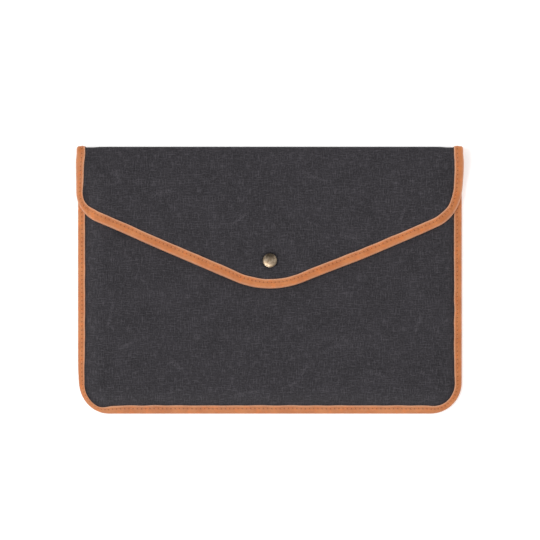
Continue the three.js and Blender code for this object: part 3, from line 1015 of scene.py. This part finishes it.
def leather_material():
    graph = Graph("leather")
    cloth = graph.cloth()
    broad = graph.noise(cloth, 0.07, 4.0, 0.6)
    fine = graph.noise(cloth, 1.3, 3.0, 0.65)
    pores = graph.add("ShaderNodeTexVoronoi", {"Vector": cloth, "Scale": 1.35}).outputs[0]
    worn = graph.times(graph.attribute("worn"), graph.span(fine, 0.2, 0.6))
    scuff = graph.noise(graph.stretched(cloth, (0.25, 0.8, 1)), 0.6, 4.0, 0.7)
    scuff = graph.span(scuff, 0.56, 0.7)
    pale = graph.math("MAXIMUM", worn, graph.times(scuff, 0.22))
    tone = graph.math("MULTIPLY_ADD", fine, 0.5, graph.span(broad, 0.3, 0.7, 0.0, 0.5), limit=True)
    base = graph.blend(tone, srgb(178, 101, 56), srgb(212, 138, 86))
    warm = graph.span(graph.noise(cloth, 0.16, 3.0, 0.6), 0.5, 0.66, 0.0, 0.55)
    base = graph.blend(warm, base, srgb(220, 125, 64))
    for part, weight, color in ((pale, 0.62, srgb(230, 190, 166)),
                                # painted shade: a little darker along the stitch groove
                                (graph.attribute("painted_groove_shade"), 0.1, srgb(168, 92, 52)),
                                # painted shade: the stitch holes are coloured dark brown
                                (graph.attribute("painted_hole_shade"), 0.6, srgb(84, 42, 22))):
        base = graph.blend(graph.times(part, weight), base, color)
    # the lip below the raw edge is dark brown: partly the dyed cut edge, partly painted shade
    # along the strip's edge
    base = graph.blend(graph.attribute("dyed_edge_and_shade"), base, srgb(58, 34, 24))
    skin = graph.bump(fine, 0.1, graph.bump(pores, 0.12))
    roughness = graph.span(fine, 0.25, 0.75, 0.46, 0.66)
    return graph.finish(Base_Color=base, Roughness=roughness, Specular_IOR_Level=0.18,
                        Normal=skin)


def thread_material():
    graph = Graph("thread")
    split = graph.add("ShaderNodeSeparateXYZ", {0: graph.cloth()})
    phase = graph.math("MULTIPLY_ADD", split.outputs[0], 9.0,
                       graph.times(split.outputs[1], 6.5))
    twist = graph.math("MULTIPLY_ADD", graph.math("SINE", phase), 0.5, 0.5)
    color = graph.blend(twist, srgb(190, 116, 72), srgb(226, 156, 108))
    return graph.finish(Base_Color=color, Roughness=0.7, Sheen_Weight=0.15,
                        Specular_IOR_Level=0.3, Normal=graph.bump(twist, 0.08))


def brass_material():
    graph = Graph("brass")
    place = graph.solid()
    patina = graph.span(graph.noise(place, 0.35, 4.0, 0.6), 0.3, 0.7)
    grain = graph.noise(place, 2.2, 3.0, 0.6)
    color = graph.blend(patina, srgb(128, 109, 88), srgb(190, 173, 150))
    roughness = graph.span(graph.math("ADD", patina, grain), 0.4, 1.6, 0.44, 0.26)
    return graph.finish(Base_Color=color, Metallic=1.0, Roughness=roughness,
                        Normal=graph.bump(grain, 0.012))


def washer_material():
    graph = Graph("washer")
    grain = graph.noise(graph.solid(), 2.0, 3.0)
    color = graph.blend(grain, srgb(34, 34, 35), srgb(52, 52, 54))
    return graph.finish(Base_Color=color, Roughness=0.55, Normal=graph.bump(grain, 0.05))


FINISHES = {
    "canvas": canvas_material(),
    "lining": lining_material(),
    "foam": foam_material(),
    "leather": leather_material(),
    "thread": thread_material(),
    "brass": brass_material(),
    "washer": washer_material(),
}


def wear(piece, finish, slot):
    """Gives a piece one of the finishes."""
    piece.data.materials.clear()
    piece.data.materials.append(FINISHES[finish])


# ---- how wide the leather shows, over the body's and the flap's faces ----
def body_strip_width(x, s):
    y = CREASE_START + s
    beside = smooth((np.abs(x) - BODY_HALF + BODY_CORNER + 6) / 22)
    up = smooth((y - BOTTOM - BODY_CORNER) / 40)
    on_side = np.where(x < 0, mix(5.6, 6.3, up), mix(6.5, 6.9, up))
    corner = smooth(1 - np.hypot(np.abs(x) - BODY_HALF + 8, y - BOTTOM - 8) / 38)
    narrower = np.where(x < 0, 1.5, 0.8) * corner
    return mix(mix(7.4, on_side, beside) - narrower, 7.6, smooth((s + 40) / 30))


def flap_strip_width(x, s):
    y = CREASE_START + s
    down = smooth((TOP - 8 - y) / 42)
    side = np.where(x < 0, mix(7.5, 5.7, down), mix(8.2, 7.8, down))
    slope = np.where(x < 0, 8.8, mix(8.4, 7.9, smooth((x - 100) / 50)))
    slope = mix(slope, 8.3, smooth(1 - np.abs(x) / 60))
    return mix(slope, side, smooth((np.abs(x) - FLAP_HALF + 13) / 12))


def mouth_strip_width(x, s):
    return BINDING_WIDTH - 0.4 + 0 * x


def follow_back(piece):
    """Bakes the piece's placement into its mesh."""
    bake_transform(piece)


def follow_flap(piece):
    """Bakes the piece's placement into its mesh."""
    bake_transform(piece)


def follow_sleeve(piece):
    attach(piece, "sleeve")


def canvas_attributes(grid, creases, snap):
    """Where the canvas is creased, and a ring of painted shade round the snap's rim, standing for
    the shadow that falls there.
    """
    x, s = grid
    y = level_y(s)
    ring = np.hypot(x, y - SNAP_Y) - CAP_RADIUS
    # painted shade: the canvas is coloured darker in a ring round the cap's rim
    painted_cap_shade = np.exp(-((ring / 1.6) ** 2)) if snap else 0 * x
    return [("crease", soft_creases(x, y, creases)), ("painted_cap_shade", painted_cap_shade)]


def add_wall(side, outline, top, foam_reach, place, thickness, relief, creases, nodes, follow):
    """The three layers of a padded wall, from its outer face in. foam_reach is the inset and the
    top of its foam, and nodes names the parts whose layers of the same kind it shows."""
    shown = panel_grid(outline, EDGE_COVER, top, CANVAS_STEP)
    hidden = panel_grid(outline, EDGE_COVER, top, HIDDEN_STEP)
    core = panel_grid(outline, *foam_reach, HIDDEN_STEP)
    layers = (
        ("panel", "canvas", shown, 0, CANVAS),
        ("padding", "foam", core, CANVAS + GAP, thickness(*core) - LINING - GAP),
        ("inside", "lining", hidden, thickness(*hidden) - LINING, thickness(*hidden)),
    )
    for label, finish, grid, low, high in layers:
        extra = canvas_attributes(grid, creases, side == "flap") if finish == "canvas" else ()
        piece = add_layer(f"{side}_{label}", grid, place, low, high, relief(*grid), extra)
        wear(piece, finish, finish)
        fix_normals(piece)
        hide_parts(*[f"{node}_{finish}" for node in nodes])
        follow(piece)
    for finish in ("canvas", "lining"):
        declare_sheet(outline, top)


def add_back():
    def thickness(x, s):
        return np.where(s <= 0, back_wall(x, level_y(s)), FLAP_WALL)

    add_wall("back", body_outline(), WALL_END, (FOAM_INSET, WALL_END), back_place, thickness,
             back_relief, (), ("back", "fold"), follow_back)


def add_front():
    mouth = MOUTH_Y - CREASE_START
    top = mouth - EDGE_COVER
    cloth = ClothRelief("front_cloth", body_outline(), top - 3, front_place, 71)

    def thickness(x, s):
        return front_wall(x, CREASE_START + s)

    def relief(x, s):
        return front_relief(x, s) + cloth.at(x, s)

    add_wall("front", body_outline(), top, (FOAM_INSET, mouth - BINDING_WIDTH - 2), front_place,
             thickness, relief, FRONT_CREASES, ("front",), follow_sleeve)


def add_flap():
    cloth = ClothRelief("flap_cloth", flap_outline(), -6, flap_place, 72)

    def thickness(x, s):
        return FLAP_WALL + 0 * x

    def relief(x, s):
        return flap_relief(x, s) + cloth.at(x, s)

    add_wall("flap", flap_outline(), WALL_END, (EDGE_COVER, WALL_END), flap_place, thickness,
             relief, FLAP_CREASES, ("flap",), follow_flap)


def add_bound_edge(names, outline, faces, width_at, seed, rolled_wear, rests_on, nodes, follow):
    """A leather strip and its stitches, from the names of both and the strip's two faces."""
    strip = add_strip(names[0], outline, *faces, width_at, seed, rolled_wear, rests_on)
    thread = add_stitches(names[1], outline, faces, width_at, seed)
    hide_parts(*nodes)
    wear(strip, "leather", "leather")
    wear(thread, "thread", "leather")
    follow(strip)
    follow(thread)


def add_bindings():
    add_bound_edge(("edge_binding", "edge_stitches"), body_outline(), (body_over, body_under),
                   body_strip_width, 61, 0.05, ["back_panel", "front_panel"],
                   ("body_binding", "fold_binding_left", "fold_binding_right"), follow_back)
    add_bound_edge(("mouth_strip", "mouth_stitches"), mouth_outline(), (mouth_over, mouth_under),
                   mouth_strip_width, 62, 0.4, ["front_panel"], ("mouth_binding",),
                   follow_sleeve)
    add_bound_edge(("flap_edge_binding", "flap_stitches"), flap_outline(),
                   (flap_over, flap_under), flap_strip_width, 63, 0.55, ["flap_panel"],
                   ("flap_binding",), follow_flap)


def arc(centre, radii, first, last, steps):
    """(radius, height) pairs along part of an ellipse, in degrees."""
    angles = np.radians(np.linspace(first, last, steps))
    return [(centre[0] + radii[0] * math.cos(a), centre[1] + radii[1] * math.sin(a))
            for a in angles]


def add_cap():
    """A low dome with a rolled rim, its skirt sunk into the canvas."""
    seat = FLAP_OUTER - CAP_SUNK
    dome = CAP_RADIUS - RIM_ROUND
    dome_foot = seat + 2 * RIM_ROUND
    profile = [(0, seat - 1.6), (1.9, seat - 1.6), (1.9, seat), (CAP_RADIUS - 0.7, seat)]
    profile += arc((dome, seat + 0.62), (RIM_ROUND, RIM_ROUND), -90, 99, 9)
    profile += arc((0, dome_foot), (dome, DOME_HEIGHT), 0, 84.375, 16)
    profile.append((0, dome_foot + DOME_HEIGHT))
    cap = add_turned("snap_dome", profile)
    wear(cap, "brass", "brass")
    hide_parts("snap_cap")
    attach(cap, "flap")


HARDWARE = (
    "snap_socket", "snap_spring", "snap_stud", "snap_eyelet", "flap_washer", "front_washer",
)


def add_hardware():
    """The cap, and the CAD model's own parts of the press stud with finished materials."""
    add_cap()
    for node in HARDWARE:
        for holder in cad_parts[node].material_slots:
            holder.material = FINISHES["washer" if "washer" in node else "brass"]


# ---- studio ----
FLOOR_SIZE = 3000  # half its width
FLOOR_GLOW = 0.39  # so that it reads as white paper
KEY_FROM = (-0.38, 0.04, 0.92)
KEY_SOFTNESS = 18  # degrees
ROOM_LIGHT = (0.9, 1.0)  # from its darkest to its lightest direction
ROOM_LIGHTEST = (0.15, 1, 0)
CARD_GLOW = 5.5
VIEW_WIDTH = 482.0  # width of the picture, at the height of the fold's middle
VIEW_CENTRE = (0.1, 8.9)
CAMERA_HEIGHT = 6000
CAMERA_SENSOR = 36.0


def add_plain_sheet(name, points, greys, glow, **finish):
    """A single face between two close greys, which may give off light."""
    sheet = make_object(name, points, [[0, 1, 2, 3]])
    graph = Graph(name)
    tone = graph.noise(graph.solid(), 0.01, 2.0)
    color = graph.blend(tone, *[(grey, grey, grey, 1) for grey in greys])
    sheet.data.materials.append(graph.finish(
        Base_Color=color, Roughness=0.9, Emission_Color=(1, 1, 1, 1), Emission_Strength=glow,
        **finish))
    return sheet


def add_floor():
    corners = ((-1, -1), (1, -1), (1, 1), (-1, 1))
    points = [(a * FLOOR_SIZE, b * FLOOR_SIZE, 0) for a, b in corners]
    add_plain_sheet("floor", points, (0.86, 0.88), FLOOR_GLOW, Specular_IOR_Level=0.1)


def add_sun():
    """The key light, from the left and high up, with soft shadows."""
    data = bpy.data.lights.new("key", "SUN")
    data.energy = 1.0
    data.angle = math.radians(KEY_SOFTNESS)
    lamp = link("key", data)
    lamp.rotation_euler = Vector(KEY_FROM).to_track_quat("Z", "Y").to_euler()
    lamp.visible_glossy = False  # or it would show as a hot spot on the cap


def add_card(name, points, glow):
    """A card that only shows in reflections: a dark one, or a bright one as a softbox is."""
    card = add_plain_sheet(name, points, (0.03, 0.04), glow)
    card.visible_camera = card.visible_diffuse = card.visible_shadow = False
    card.visible_transmission = False


def add_studio():
    """A bright room, a little lighter beyond the fold, one soft key light and two cards."""
    world = bpy.data.worlds.new("room")
    bpy.context.scene.world = world
    room = Nodes(world)
    place = room.add("ShaderNodeTexCoord").outputs["Generated"]
    lean = room.vector("DOT_PRODUCT", {0: place, 1: ROOM_LIGHTEST})
    strength = room.span(lean.outputs["Value"], -1, 1, *ROOM_LIGHT, soft=False)
    light = room.add("ShaderNodeBackground", {"Strength": strength})
    room.add("ShaderNodeOutputWorld", {0: light.outputs[0]})
    add_sun()
    add_card("dark_card", [(-900, 350, 1300), (900, 350, 1300), (900, 1700, 100),
                           (-900, 1700, 100)], 0)
    add_card("bright_card", [(-1500, -450, 300), (350, -1550, 300), (150, -850, 1200),
                             (-850, -250, 1200)], CARD_GLOW)


def add_camera():
    """Straight above the sleeve with a long lens, as for a catalogue."""
    data = bpy.data.cameras.new("camera")
    data.sensor_width = CAMERA_SENSOR
    data.lens = CAMERA_SENSOR * (CAMERA_HEIGHT - SPINE_MIDDLE) / VIEW_WIDTH
    camera = link("camera", data)
    camera.location = Vector((*VIEW_CENTRE, CAMERA_HEIGHT)) * MM
    bpy.context.scene.camera = camera


add_back()
add_front()
add_flap()
add_bindings()
add_hardware()
add_floor()
add_studio()
add_camera()
bpy.context.scene.view_settings.view_transform = "Standard"
